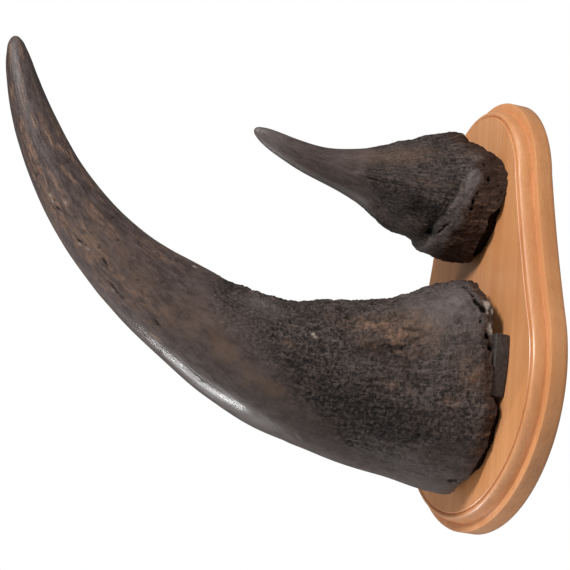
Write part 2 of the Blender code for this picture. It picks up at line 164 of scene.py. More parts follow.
def noise(points, seed):
    """Smooth noise from -1 to 1 with one wave per unit."""
    cell = np.floor(points)
    t = points - cell
    t = t * t * (3 - 2 * t)
    total = 0.0
    for corner in range(8):
        offset = np.array([corner & 1, corner >> 1 & 1, corner >> 2 & 1])
        weight = np.prod(np.where(offset, t, 1 - t), axis=-1)
        total = total + weight * lattice_value(cell + offset, seed)
    return total * 2 - 1


def rich_noise(points, seed, octaves=4, gain=0.5):
    """Noise with finer and weaker waves added."""
    total = 0.0
    weight = 1.0
    for octave in range(octaves):
        total = total + weight * noise(points * 2 ** octave + 17.3 * octave, seed + octave)
        weight *= gain
    return total


def cells(points, seed):
    """Distance to the nearest seed point, margin to the next one, and the cell's own number."""
    base = np.floor(points)
    nearest = np.full(points.shape[:-1], 9.0)
    second = np.full(points.shape[:-1], 9.0)
    own = np.zeros(points.shape[:-1])
    for i in (-1, 0, 1):
        for j in (-1, 0, 1):
            for k in (-1, 0, 1):
                cell = base + np.array([i, j, k])
                spot = np.stack([lattice_value(cell, seed + m) for m in (0, 31, 67)], axis=-1)
                gap = np.linalg.norm(cell + spot - points, axis=-1)
                closer = gap < nearest
                second = np.where(closer, nearest, np.minimum(second, gap))
                own = np.where(closer, lattice_value(cell, seed + 101), own)
                nearest = np.where(closer, gap, nearest)
    return nearest, second - nearest, own


# Meshes and objects
def add_object(name, data):
    item = bpy.data.objects.new(name, data)
    bpy.context.scene.collection.objects.link(item)
    return item


def finished(body, name, sharp_angle):
    """Object of an edited mesh, smooth except along edges sharper than an angle in degrees."""
    mesh = bpy.data.meshes.new(name)
    body.to_mesh(mesh)
    body.free()
    mesh.shade_smooth()
    mesh.set_sharp_from_angle(angle=math.radians(sharp_angle))
    return add_object(name, mesh)


# The horns' surface
def axis_frame(spec, share):
    """Y and Z of the axis and its heading."""
    walk = np.linspace(0.0, 1.0, WALK_STEPS)
    angles = np.radians(smooth_curve(spec["heading"], walk))
    stride = spec["length"] / (WALK_STEPS - 1)
    forward = np.cumsum(np.cos(angles[:-1]) + np.cos(angles[1:])) * stride / 2
    upward = np.cumsum(np.sin(angles[:-1]) + np.sin(angles[1:])) * stride / 2
    y = -THICKNESS - np.concatenate(([0.0], forward))
    z = spec["base"] + np.concatenate(([0.0], upward))
    return np.interp(share, walk, y), np.interp(share, walk, z), np.interp(share, walk, angles)


def section_stretch(spec, share, angle):
    """How far the upper corners of a section stand outside the ellipse."""
    power = 2 + (spec["square"] - 2) * np.clip(1 - share / spec["square_reach"], 0, 1)
    across = np.abs(np.sin(np.radians(angle)))
    upward = np.clip(np.cos(np.radians(angle)), 0, None)
    reach = (across ** power + upward ** power) ** (1 / power)
    stretch = 1.0 / np.where(reach > 0, reach, 1.0)
    return np.where(np.cos(np.radians(angle)) > 0, stretch, 1.0)


def half_height(spec, share):
    """Half the section's height, with the tip rounded off."""
    plain = smooth_curve(spec["half"], share)
    start = spec["tip_from"]
    at_start = smooth_curve(spec["half"], start)
    t = np.clip((share - start) / (1 - start), 0, 1)
    rounded = at_start * np.sqrt(np.clip(1 - t ** 2.2, 0, 1))
    return np.where(share > start, plain * (1 - t * 0.75) + rounded * t * 0.75, plain)


def horn_surface(spec, share, angle, relief):
    """World points of the sections with the relief added along the section's radius."""
    y, z, heading = axis_frame(spec, share)
    half = half_height(spec, share)
    stretch = section_stretch(spec, share, angle)
    high = half * stretch + relief
    wide = half * smooth_curve(spec["width"], share) * stretch + relief
    up = high * np.cos(np.radians(angle))
    x = wide * np.sin(np.radians(angle))
    return np.stack((x, y + up * np.sin(heading), z + up * np.cos(heading)), axis=-1)


class Place:
    """Share, angle and surface coordinates of every vertex of a horn's grid."""

    def __init__(self, spec):
        row = np.concatenate([np.linspace(a, b, n, endpoint=False) for a, b, n in spec["rows"]])
        sides = spec["columns"]
        angle = np.arange(sides) * 360.0 / sides
        angle = (angle + 180) % 360 - 180
        turn = np.radians(angle)
        start = smooth_curve(spec["rim"], np.abs(angle))
        ragged = np.sin(9 * turn + spec["seed"]) + np.sin(17 * turn + 2 * spec["seed"])
        start = start + RIM_WAVES / spec["length"] * ragged / 2
        ends = np.stack((np.cos(turn) * 9, np.sin(turn) * 9, np.full(sides, spec["seed"])), -1)
        start = start + spec["ragged"] / spec["length"] * rich_noise(ends * 2.6, 11, 3, 0.7)
        self.spec = spec
        self.share = row[:, None] + start[None, :] * (1 - row[:, None]) ** 3
        self.angle = np.broadcast_to(angle, self.share.shape)
        self.start = np.broadcast_to(start, self.share.shape)
        self.turn = np.radians(self.angle)
        self.half = half_height(spec, self.share)
        self.along = self.share * spec["length"]
        self.from_rim = (self.share - self.start) * spec["length"]
        self.flat = np.stack((self.half * np.cos(self.turn), self.half * np.sin(self.turn),
                              self.along), axis=-1)
        self.grain = np.stack((0.06 * np.cos(self.turn), 0.06 * np.sin(self.turn),
                               self.along), axis=-1)

    def offsets(self, share, angle):
        """Metres along the horn and round it from one point of its surface."""
        around = np.radians((self.angle - angle + 180) % 360 - 180) * self.half
        return (self.share - share) * self.spec["length"], around

    def patch(self, share, angle, half_length, half_width, lean=0.0):
        """1 at the middle of a patch, falling to 0 at its edge. Lean turns it, in degrees."""
        along, around = self.offsets(share, angle)
        c, s = math.cos(math.radians(lean)), math.sin(math.radians(lean))
        u = (along * c + around * s) / half_length
        v = (around * c - along * s) / half_width
        return fall(np.hypot(u, v))

    def patches(self, table):
        """Sum of weighted patches from (share, angle, half length, half width, weight) rows."""
        return sum(row[4] * self.patch(*row[:4]) for row in table)

    def line(self, points, width):
        """1 on a line through (share, angle) points, falling to 0 at its width."""
        best = np.full(self.share.shape, 9.0)
        for (s0, a0), (s1, a1) in zip(points, points[1:]):
            ax, ay = self.offsets(s0, a0)
            bx = (s1 - s0) * self.spec["length"]
            by = np.radians(a1 - a0) * self.half
            t = unit((ax * bx + ay * by) / (bx * bx + by * by))
            best = np.minimum(best, np.hypot(ax - bx * t, ay - by * t))
        return fall(best / width)


# share, angle, half length, half width and height or weight
FRONT_LUMPS = (
    (0.14, 0, 0.046, 0.07, -0.0044), (0.012, 12, 0.013, 0.024, 0.0028),
    (0.09, -170, 0.045, 0.06, -0.0022), (0.52, 12, 0.05, 0.03, 0.0018),
    (0.437, 30, 0.009, 0.012, 0.0012), (0.414, 34, 0.008, 0.01, 0.0014),
    (0.43, 6, 0.016, 0.014, -0.0012), (0.385, -16, 0.012, 0.014, 0.0013),
    (0.246, 34, 0.016, 0.009, -0.0026), (0.262, -30, 0.02, 0.012, -0.0022),
    (0.313, 70, 0.012, 0.011, 0.0012), (0.168, 60, 0.034, 0.016, 0.0022),
    (0.13, 88, 0.026, 0.018, -0.0018), (0.215, 96, 0.036, 0.02, 0.002),
    (0.29, 108, 0.03, 0.018, -0.0014), (0.11, 128, 0.03, 0.022, 0.0016),
    (0.238, 140, 0.026, 0.018, -0.0016), (0.335, 86, 0.026, 0.016, 0.0016),
    (0.055, 72, 0.012, 0.02, -0.0022), (0.17, -60, 0.032, 0.02, 0.0022),
    (0.24, -95, 0.036, 0.02, 0.0018), (0.12, -120, 0.03, 0.024, -0.0018),
    (0.33, -75, 0.026, 0.016, 0.0015), (0.06, -80, 0.014, 0.022, -0.0022))
REAR_LUMPS = (
    (0.19, 18, 0.01, 0.011, 0.001), (0.15, 32, 0.009, 0.011, 0.0016), (0.172, -28, 0.012, 0.012, 0.002),
    (0.168, 4, 0.008, 0.012, -0.0018), (0.225, 2, 0.02, 0.014, -0.0012), (0.19, 8, 0.04, 0.03, -0.0014),
    (0.14, 26, 0.02, 0.022, -0.0014), (0.214, 78, 0.014, 0.012, -0.0018),
    (0.259, 66, 0.018, 0.013, 0.0018), (0.367, 168, 0.012, 0.011, 0.0016),
    (0.14, -84, 0.013, 0.014, 0.0028), (0.1, -108, 0.008, 0.01, -0.0032),
    (0.26, -60, 0.016, 0.012, 0.0016), (0.36, -160, 0.014, 0.012, 0.0014))

FRONT_ROUGH_EDGE = ((0, 0.46), (40, 0.46), (83, 0.415), (109, 0.36), (124, 0.315), (140, 0.255),
                    (155, 0.19), (168, 0.09), (180, 0.04))
REAR_ROUGH_EDGE = ((0, 0.5), (60, 0.52), (100, 0.54), (140, 0.5), (180, 0.46))
LOW_STEP = ((150, 0.3), (165, 0.28), (180, 0.24))
LEDGE = ((60, 0.165), (81, 0.16), (95, 0.165), (109, 0.182), (122, 0.202), (147, 0.222), (180, 0.222))
FRONT_TAN = (
    (0.172, 64, 0.06, 0.034, 1.0), (0.172, 98, 0.022, 0.014, 0.6), (0.24, 52, 0.045, 0.016, 0.8),
    (0.062, 90, 0.018, 0.02, 0.8), (0.34, 84, 0.016, 0.01, 0.6), (0.09, 108, 0.02, 0.014, 0.5),
    (0.172, -70, 0.06, 0.034, 1.0), (0.3, -100, 0.05, 0.02, 0.6))
FRONT_BROWN = (
    (0.426, 116, 0.034, 0.02, 1.0), (0.372, 127, 0.04, 0.018, 1.0), (0.333, 127, 0.026, 0.014, 0.7),
    (0.52, 120, 0.06, 0.03, 0.8), (0.64, 110, 0.08, 0.03, 0.8), (0.46, 90, 0.05, 0.026, 0.5),
    (0.16, 66, 0.09, 0.05, 1.0), (0.06, 92, 0.04, 0.04, 0.6), (0.42, -110, 0.08, 0.04, 1.0),
    (0.16, -70, 0.08, 0.05, 1.0))
# darker patches, mostly on the lower flank: partly the skin's own tone, partly painted shade
FRONT_DARK = (
    (0.27, 112, 0.06, 0.034, 1.0), (0.18, 124, 0.05, 0.034, 1.0), (0.345, 96, 0.036, 0.018, 0.6),
    (0.235, 80, 0.03, 0.01, 0.7), (0.15, 130, 0.04, 0.02, 0.6), (0.25, -110, 0.07, 0.04, 1.0))
FRONT_FLANK = ((0.185, 66, 0.06, 0.04, 1.0), (0.185, -66, 0.06, 0.04, 1.0))
FRONT_FLARE = ((0.08, 44, 0.062, 0.064, 1.0), (0.08, -44, 0.062, 0.064, 1.0))
REAR_TAN = (
    (0.096, 105, 0.014, 0.03, 1.0), (0.082, 127, 0.014, 0.03, 1.0), (0.08, 150, 0.014, 0.02, 1.0),
    (0.13, 60, 0.03, 0.02, 0.6), (0.4, 60, 0.05, 0.018, 0.6), (0.3, 95, 0.04, 0.012, 0.5),
    (0.096, -105, 0.014, 0.03, 1.0), (0.35, -70, 0.05, 0.018, 0.5))
# darker patches on the lower flank, partly painted shade; the small one at 0.236, 152 is a painted shadow
# in the hollow under the ledge
REAR_DARK = (
    (0.36, 130, 0.06, 0.026, 0.9), (0.236, 152, 0.009, 0.015, 1.3), (0.26, 128, 0.034, 0.02, 0.8),
    (0.62, 150, 0.05, 0.02, 0.4), (0.33, -130, 0.05, 0.024, 0.8))
REAR_PITS = (
    (0.12, 108, 0.003, 0.004, 1.0), (0.12, 114, 0.0026, 0.003, 1.0), (0.072, 87, 0.0022, 0.0034, 1.0),
    (0.089, 74, 0.0018, 0.0022, 1.0), (0.108, 100, 0.0018, 0.002, 1.0), (0.105, -104, 0.0036, 0.0036, 1.0))
# share, angle, half length and half width
RIM_PITS = (
    (0.021, 20, 0.0045, 0.0051), (0.03, 35, 0.0054, 0.006), (0.031, 44, 0.0036, 0.006),
    (0.03, 50, 0.0051, 0.0075), (0.023, 54, 0.0066, 0.0084), (0.024, 69, 0.0045, 0.0045),
    (0.021, 76, 0.0039, 0.0045))
# lines through (share, angle) points
SCARS = (
    ((0.736, 145), (0.728, 141), (0.72, 135)), ((0.684, 146), (0.677, 142), (0.669, 138)),
    ((0.612, 145), (0.603, 147), (0.592, 148)), ((0.64, 128), (0.63, 130)),
    ((0.53, 138), (0.52, 140)), ((0.585, 112), (0.577, 114)), ((0.73, -120), (0.715, -112)),
    ((0.61, -140), (0.595, -134)))
PALE_LIPS = ((0.754, 146), (0.746, 147), (0.676, 145), (0.724, 139), (0.664, 138), (0.6, 151))

PIT_DEPTH = 0.0030
NAIL_DEPTH = 0.0062
CHIP_DEPTH = 0.0010
CREASE_DEPTH = 0.0024
FOLD_DEPTH = 0.0020
LEDGE_DEPTH = 0.0038
KNOB_HEIGHT = 0.0036
CRACK_DEPTH = 0.0026


def growth_relief(place):
    """Lengthwise flutes near the base and uneven growth over the rough half."""
    share = place.share
    turn = place.turn
    near_base = 1 - step(0.05, 0.30, share)
    flute = np.sin(place.spec["flutes"] * turn + 2.0 * np.sin(3 * turn) + 9 * share)
    uneven = (np.sin(31 * share + 4 * turn) + np.sin(53 * share - 3 * turn + 1.0)
              + np.sin(19 * share + 7 * turn + 2.0))
    rough = 1 - step(0.30, 0.55, share)
    return 0.0013 * flute * near_base + 0.0006 * uneven * rough


def fibre_relief(place, amount, fineness, seed):
    """Ridges that run along the horn, broken up over a few centimetres."""
    wave = rich_noise(place.grain * np.array([fineness, fineness, 26.0]), seed, 4, 0.6)
    return amount * wave


def pebble_relief(place, size, seed):
    """Rounded grains with narrow valleys between them, from 0 to 1."""
    warped = place.flat / np.array([size, size, size * 1.5])
    shift = np.stack([noise(warped * 0.8, seed + m) for m in (1, 2, 3)], axis=-1)
    _, margin, own = cells(warped + 0.35 * shift, seed)
    return step(0.02, 0.45, margin) * (0.55 + 0.45 * own)


def pit_field(place, size, share_of_cells, seed):
    """Scattered round pits: 1 in a pit's middle."""
    near, _, own = cells(place.flat / size, seed)
    return np.where(own < share_of_cells, 1 - step(0.12, 0.34, near), 0.0)


def front_horn_grid():
    place = Place(FRONT)
    share, angle = place.share, np.abs(place.angle)
    wander = rich_noise(place.flat * 22.0, 5, 3)
    edge = smooth_curve(FRONT_ROUGH_EDGE, angle)
    rough = 1 - step(-0.055, 0.055, share - edge + wander * 0.045)
    low_base = step(126, 142, angle) * (1 - step(0.12, 0.24, share))
    flare_wide = place.patches(FRONT_FLARE)
    flare_wide = unit(flare_wide * (0.85 + 0.45 * wander))
    shoulder = place.patch(0.400, 50, 0.040, 0.022)
    rough = unit(rough * (1 - 0.65 * flare_wide) * (1 - 0.45 * low_base) * (1 - 0.4 * shoulder))
    band = (1 - step(0.003, 0.014, place.from_rim)) * (1 - 0.7 * step(120, 150, angle))
    relief = place.patches(FRONT_LUMPS) + growth_relief(place)
    # pebbled and fibrous skin
    pebble = pebble_relief(place, 0.0036, 21)
    relief += rough * 0.0011 * (pebble - 0.6)
    relief += fibre_relief(place, 0.00040, 230.0, 7) * (0.15 + 0.85 * rough)
    patchy = step(-0.25, 0.45, noise(place.flat * 34.0, 25))
    relief += 0.0014 * rich_noise(place.flat * 75.0, 9, 3) * rough * (0.35 + 0.65 * patchy)
    tip_fade = step(0.3, 0.6, share) * (1 - step(0.9, 1.0, share))
    relief += 0.00045 * rich_noise(place.flat * 34.0, 15, 2) * tip_fade
    # short ridges across the brown flank
    flank = unit(place.patches(FRONT_FLANK))
    torn = rich_noise(place.grain * np.array([240.0, 240.0, 80.0]), 35, 3, 0.6)
    relief += 0.0016 * flank * torn
    # pits along the upper rim and here and there on the rough skin
    upper = (1 - step(0.026, 0.050, share)) * (1 - step(56, 70, angle)) * step(4, 16, angle)
    pits = 0.7 * pit_field(place, 0.0060, 0.40, 63) * upper
    for spot, turn, long, wide in RIM_PITS:
        for side in (1, -1):
            pits = np.maximum(pits, place.patch(spot, side * turn, long, wide))
    pits = unit(pits * (1.9 + 0.9 * noise(place.flat * 360.0, 79)))
    pits = np.maximum(pits, 0.6 * pit_field(place, 0.0090, 0.16, 77) * rough)
    relief -= PIT_DEPTH * pits
    # fold below the flare, which notches the upper edge
    crease = place.line(((0.246, 2), (0.246, 24), (0.241, 36), (0.241, 46), (0.236, 54)), 0.0042)
    relief -= CREASE_DEPTH * crease
    relief += 0.0006 * place.line(((0.272, 20), (0.262, 34), (0.262, 48)), 0.0080)
    fold = place.line(((0.262, -10), (0.240, -36), (0.252, -48)), 0.0050)
    relief -= FOLD_DEPTH * fold
    # low step where the smooth underside begins
    low_step = smooth_curve(LOW_STEP, angle)
    relief += 0.0007 * (1 - step(-0.004, 0.004, share - low_step)) * step(150, 168, angle)
    # knobbly upper edge
    knots = step(0.35, 0.39, share) * (1 - step(0.43, 0.48, share)) * (1 - step(26, 54, angle))
    relief += 0.0015 * knots * rich_noise(place.flat * 125.0, 19, 2)
    relief -= 0.0001 * step(0.85, 0.95, share)
    # chips, the nail hole and cracks
    ragged = 1 + 0.35 * noise(place.flat * 420.0, 91)
    chip = place.patch(0.3085, 69.8, 0.0040, 0.0026, 35) * ragged
    chip = np.maximum(chip, place.patch(0.3045, 72.0, 0.0024, 0.0022) * ragged)
    chip += place.patch(0.525, 38, 0.0028, 0.0020)
    relief -= CHIP_DEPTH * unit(chip * 1.6)
    nail = step(0.03, 0.3, place.patch(0.0570, 161.5, 0.0050, 0.0036))
    relief -= NAIL_DEPTH * nail
    knothole = step(0.2, 0.8, place.patch(0.679, 142, 0.0024, 0.0018))
    scars = np.zeros_like(share)
    for points in SCARS:
        scars = np.maximum(scars, place.line(points, 0.0020))
    scars *= step(-0.35, 0.15, noise(place.flat * 420.0, 93))
    freckles = pit_field(place, 0.0085, 0.12, 171) * step(0.40, 0.50, share)
    freckles *= 1 - step(0.80, 0.90, share)
    relief -= 0.0012 * np.maximum(knothole, scars) + 0.0004 * freckles
    # frayed rim
    comb = rich_noise(place.grain * np.array([400.0, 400.0, 40.0]), 29, 2)
    relief -= band * (0.0006 + 0.0010 * comb)
    tan = place.patches(FRONT_TAN)
    clusters = step(-0.10, 0.45, rich_noise(place.grain * np.array([60.0, 60.0, 22.0]), 33, 2))
    tan += clusters * (0.50 * step(0.46, 0.60, share) + 0.35 * step(0.62, 0.80, share))
    for mark in (place.line(((0.812, 78), (0.795, 66)), 0.0040),
                 place.line(((0.782, 93), (0.766, 90), (0.750, 86)), 0.0026),
                 place.patch(0.969, 84, 0.012, 0.004), place.patch(0.912, 155, 0.014, 0.005),
                 place.patch(0.860, 110, 0.010, 0.004), place.line(((0.520, 160), (0.505, 158)), 0.0040)):
        tan = np.maximum(tan, 1.6 * mark)
    lips = step(0.2, 0.9, place.patch(0.734, 124, 0.0036, 0.0026)) * 0.30
    for spot, turn in PALE_LIPS:
        lips = np.maximum(lips, 0.28 * step(0.1, 0.8, place.patch(spot, turn, 0.0030, 0.0022)))
    # darkening mask: darker skin and painted shade, multiplied into the colour
    dark_and_shade = place.patches(FRONT_DARK)
    # painted shade: the lower flank is darkened where it turns away from the light
    dark_and_shade += 0.35 * step(104, 132, angle) * (1 - step(0.34, 0.50, share)) * (1 - step(160, 178, angle))
    # darker towards the tip
    dark_and_shade = unit(dark_and_shade + 0.35 * step(0.82, 0.94, share))
    # darker along the lower rim
    lower_rim = place.line(((0.026, 104), (0.032, 124), (0.046, 142)), 0.009)
    dark_and_shade = np.maximum(dark_and_shade, 0.8 * lower_rim)
    cream = place.line(((0.0115, 50), (0.0125, 56), (0.0150, 62), (0.0165, 66)), 0.0070)
    pale = unit(chip * 1.5) + 0.6 * cream * step(-0.5, 0.1, noise(place.flat * 260.0, 95)) + lips
    filler = (1 - step(0.002, 0.006, place.from_rim)) * step(66, 70, place.angle)
    filler = filler * (1 - step(98, 104, place.angle))
    pale += 0.07 * filler * step(-0.3, 0.3, noise(place.flat * 300.0, 97))
    relief -= 0.0010 * cream
    # painted shade: pits, the nail hole, creases, folds, knotholes, scars, freckles and the torn flank's
    # valleys are coloured near black for the shade inside them
    recess_shade = unit(np.maximum(step(0.35, 0.8, pits), 1.2 * nail))
    recess_shade = np.maximum(recess_shade, np.maximum(0.35 * np.maximum(crease, fold), 0.85 * np.maximum(knothole, scars)))
    recess_shade = np.maximum(recess_shade, 0.55 * freckles)
    recess_shade = np.maximum(recess_shade, 0.80 * flank * step(0.08, 0.40, -torn))
    polish = place.line(((0.366, 165), (0.42, 164), (0.46, 166), (0.50, 167), (0.60, 165)), 0.012)
    polish = np.maximum(polish, place.line(((0.36, -165), (0.48, -165), (0.60, -164)), 0.013))
    # paler grey on the smooth flare, low base and shoulder: partly the skin's own tone, partly painted
    # sheen
    pale_skin_and_sheen = unit(0.9 * flare_wide + 0.35 * low_base + 0.6 * shoulder)
    masks = dict(rough=rough, tan=tan, brown=unit(place.patches(FRONT_BROWN)), dark_and_shade=dark_and_shade,
                 pale=pale, recess_shade=recess_shade, fray=band, polish=polish, pale_skin_and_sheen=pale_skin_and_sheen)
    return place, relief, masks


def rear_horn_grid():
    place = Place(REAR)
    share, angle = place.share, np.abs(place.angle)
    wander = rich_noise(place.flat * 30.0, 6, 3)
    edge = smooth_curve(REAR_ROUGH_EDGE, angle)
    rough = 1 - step(-0.05, 0.05, share - edge + wander * 0.03)
    relief = place.patches(REAR_LUMPS) + growth_relief(place)
    # the upper layer's ledge
    ledge_at = smooth_curve(LEDGE, angle)
    past = (share - ledge_at) * REAR["length"] + 0.0010 * noise(place.flat * 160.0, 3)
    fade = step(72, 112, angle)
    cut = step(0, 0.0022, past) * np.exp(-np.clip(past, 0, None) / 0.014)
    relief -= (LEDGE_DEPTH + 0.0010 * step(118, 140, angle)) * cut * fade
    # smooth knob with its flap
    knob = unit(1.25 * place.patch(0.128, 89, 0.0120, 0.0165))
    flap = place.line(((0.134, 92), (0.148, 101), (0.160, 108)), 0.0100)
    flap = np.maximum(flap, place.line(((0.160, 108), (0.176, 124), (0.203, 147), (0.208, 170),
                                        (0.208, 180)), 0.0135))
    flap = np.maximum(flap, place.line(((0.205, -180), (0.203, -150), (0.180, -118)), 0.0125))
    flap *= 0.75 + 0.25 * noise(place.flat * 90.0, 147)
    wrinkle = rich_noise(place.flat * np.array([240.0, 240.0, 420.0]), 131, 2)
    relief += KNOB_HEIGHT * np.maximum(knob, 0.6 * flap)
    relief += wrinkle * np.maximum(0.0002 * knob, 0.0006 * flap)
    far_knob = step(0.0, 0.8, place.patch(0.140, -84, 0.0090, 0.0150))
    crack = place.line(((0.190, 131), (0.193, 135), (0.201, 138), (0.202, 143), (0.209, 145),
                        (0.212, 149)), 0.0014)
    crack *= step(-0.6, 0.0, noise(place.flat * 260.0, 141))
    relief -= CRACK_DEPTH * crack
    hollow = place.patch(0.241, 156, 0.0095, 0.0160)
    relief -= 0.0026 * hollow
    crease = place.line(((0.575, 112), (0.520, 110), (0.461, 109), (0.369, 106), (0.267, 106)),
                        0.0011)
    crease *= step(0.575, 0.50, share) * (0.45 + 0.55 * step(-0.3, 0.3, noise(place.flat * 120, 45)))
    fold = place.line(((0.470, -100), (0.380, -108), (0.280, -104)), 0.0018)
    taper = step(0.24, 0.34, share)
    relief -= 0.0009 * np.maximum(crease, fold) * taper
    brow = place.line(((0.560, 105), (0.461, 103), (0.369, 100), (0.280, 100)), 0.0045)
    relief += 0.0009 * brow * taper
    # fibres, pebbles and pits
    smooth_spots = unit(step(0.1, 0.6, knob) + 0.6 * step(0.1, 0.6, flap) + far_knob)
    skin = rough * (1 - 0.8 * smooth_spots)
    pebble = pebble_relief(place, 0.0032, 121)
    low = step(98, 118, angle)
    relief += skin * (0.15 + 0.85 * low) * 0.00065 * (pebble - 0.6)
    relief += fibre_relief(place, 0.00050, 300.0, 107) * skin * (1 - 0.5 * low)
    relief += 0.0010 * rich_noise(place.flat * 85.0, 109, 3) * skin
    flank_band = step(58, 80, angle)
    band = 1 - step(0, 1, (place.from_rim - 0.008 - 0.017 * flank_band) / (0.018 - 0.009 * flank_band))
    band *= 1 - 0.9 * smooth_spots
    comb = rich_noise(place.grain * np.array([300.0, 300.0, 120.0]), 129, 3, 0.7)
    relief += band * 0.0010 * comb
    spots = place.patches(REAR_PITS)
    spots *= 1 + 0.5 * noise(place.flat * 380.0, 145)
    field = 0.5 * pit_field(place, 0.0050, 0.16, 163) * unit(band * 1.2) * (1 - smooth_spots)
    pits = unit(spots * 1.5 + field)
    relief -= PIT_DEPTH * pits
    knots = (1 - step(0.02, 0.06, place.from_rim)) * (1 - step(30, 62, angle))
    relief += 0.0010 * knots * rich_noise(place.flat * 120.0, 119, 2)
    dark_and_shade = place.patches(REAR_DARK)
    # painted shade in the ledge's cut, under the overhanging upper layer
    dark_and_shade = np.maximum(dark_and_shade, 0.9 * cut * fade * (1 - smooth_spots))
    pale = 0.05 * place.line(((0.50, 60), (0.459, 62), (0.40, 58)), 0.006)
    # painted shadow in the hollow under the ledge, marked like a pit
    pits = np.maximum(pits, 0.75 * step(0.1, 0.8, place.patch(0.239, 157, 0.0064, 0.0130)))
    # painted shade: pits, the crack, the crease and the fold are coloured near black
    recess_shade = np.maximum(step(0.3, 0.8, pits), np.maximum(crack, 0.8 * np.maximum(crease, fold) * taper))
    polish = 0.3 * step(0.80, 0.95, share)
    brown = 0.3 * (1 - step(0.010, 0.034, place.from_rim)) + place.patch(0.40, 62, 0.08, 0.022)
    brown += place.patch(0.40, -62, 0.08, 0.022)
    # paler smooth skin on the knob and flap, and a painted highlight along the tip
    pale_skin_and_sheen = 0.10 * knob + 0.25 * step(0.1, 0.6, flap) + 0.5 * far_knob + 0.7 * step(0.78, 0.92, share)
    tan = 0.8 * place.patches(REAR_TAN) * (1 - smooth_spots)
    masks = dict(rough=skin, tan=tan, brown=unit(brown), dark_and_shade=dark_and_shade, pale=pale,
                 recess_shade=unit(recess_shade), fray=band, polish=polish, pale_skin_and_sheen=unit(pale_skin_and_sheen))
    return place, relief, masks


def keep_off_board(ring, board_size, board_height, seat_level, margin):
    """Keep points clear of the board and of the plaque."""
    over = ((np.abs(ring[:, 0]) < board_size[0] / 2 + margin)
            & (np.abs(ring[:, 2] - board_height) < board_size[2] / 2 + margin))
    ring[:, 1] = np.minimum(ring[:, 1], np.where(over, seat_level, -(THICKNESS + GAP)))


def under_rings(rim, spec, seat_level):
    """Rounded edge, foot on the plaque and seat on the board, from the seat outwards. The foot, coloured
    near black, stands in for the shade in the gap under the rim.
    """
    middle = rim.mean(axis=0)
    angle = np.abs((np.arange(len(rim)) * 360.0 / len(rim) + 180) % 360 - 180)
    lower = step(96, 116, angle)
    seat_share = spec["seat_share"]
    drawn_in = 0.12 + (spec["foot_inset"] - 0.12) * lower * (1 - 0.7 * step(140, 160, angle))
    rings = []
    for inset, to_foot in ((0.15, 0.02), (0.45, 0.10), (0.8, 0.55), (1.0, 1.0), (1.6, 1.0)):
        ring = middle + (rim - middle) * (1 - inset * drawn_in)[:, None]
        ring[:, 1] = rim[:, 1] + (FOOT_LEVEL - rim[:, 1]) * to_foot * lower - 0.003 * to_foot * (1 - lower)
        keep_off_board(ring, *spec["board"], seat_level, 0.003)
        rings.append(ring)
    wall = middle + (rim - middle) * (seat_share + 0.01)
    wall[:, 1] = np.minimum(seat_level, rings[-1][:, 1])
    seat = middle + (rim - middle) * seat_share
    seat[:, 1] = seat_level
    return [seat, wall] + rings[::-1], np.array((middle[0], seat_level, middle[2]))


def quads(first, columns, rings):
    """Faces between rings of vertices that follow each other."""
    i = np.arange(columns)
    j = (i + 1) % columns
    low = first + columns * np.arange(rings - 1)[:, None]
    return np.stack((low + i, low + j, low + columns + j, low + columns + i), axis=-1).reshape(-1, 4)


